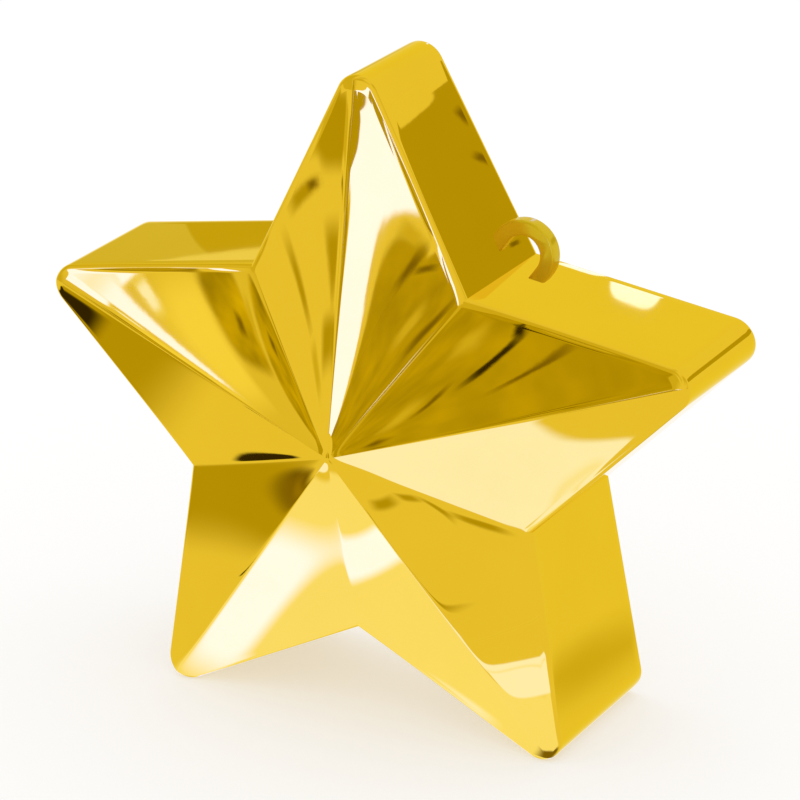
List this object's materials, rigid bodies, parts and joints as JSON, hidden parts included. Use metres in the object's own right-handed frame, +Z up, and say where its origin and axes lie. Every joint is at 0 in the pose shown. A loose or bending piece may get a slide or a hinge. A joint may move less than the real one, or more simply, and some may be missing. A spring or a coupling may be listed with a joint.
{
  "type": "balloon weight",
  "caption": "Gold faceted star weight that stands on its feet and anchors balloon ribbons through a small loop in one notch.",
  "frame": {"origin": "centre of the bounding box on the floor that the two lower star tips stand on", "axes": "+X to the right seen from the faceted front, +Y from the front to the back, +Z up"},
  "size_m": [0.093, 0.033, 0.0887],
  "materials": {
    "gold_plating": "vacuum-metallised gold, mirror gloss",
    "cover_plastic": "moulded gold-coloured polystyrene, satin",
    "ballast": "cast cement mortar, matt"
  },
  "bodies": {
    "root": {"star_shell": "gold_plating", "tie_loop": "gold_plating", "back_cover": "cover_plastic", "ballast_block": "ballast"}
  },
  "joints": []
}
